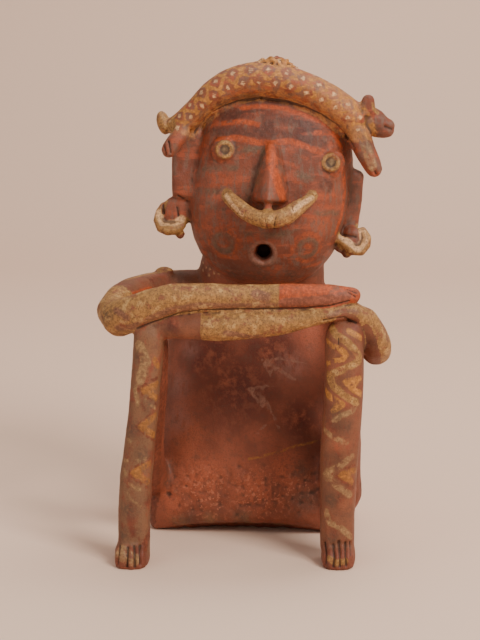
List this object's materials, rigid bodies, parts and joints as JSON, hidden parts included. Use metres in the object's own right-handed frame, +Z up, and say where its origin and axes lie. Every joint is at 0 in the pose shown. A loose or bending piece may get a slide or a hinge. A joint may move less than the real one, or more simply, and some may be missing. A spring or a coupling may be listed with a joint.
{
  "type": "seated ceramic effigy figure",
  "caption": "Seated painted clay figure in the Nayarit tomb style, arms folded on raised knees, with a patterned animal lying over its head.",
  "frame": {"origin": "on the floor, under the middle of the figure's extent", "axes": "+Z up, the face looks along -Y, and +X is the viewer's right when facing the figure"},
  "size_m": [0.2614, 0.2154, 0.44],
  "materials": {
    "painted_clay": "burnished slip, worn and partly matt"
  },
  "bodies": {
    "root": {"clay_figure": "painted_clay"}
  },
  "joints": []
}
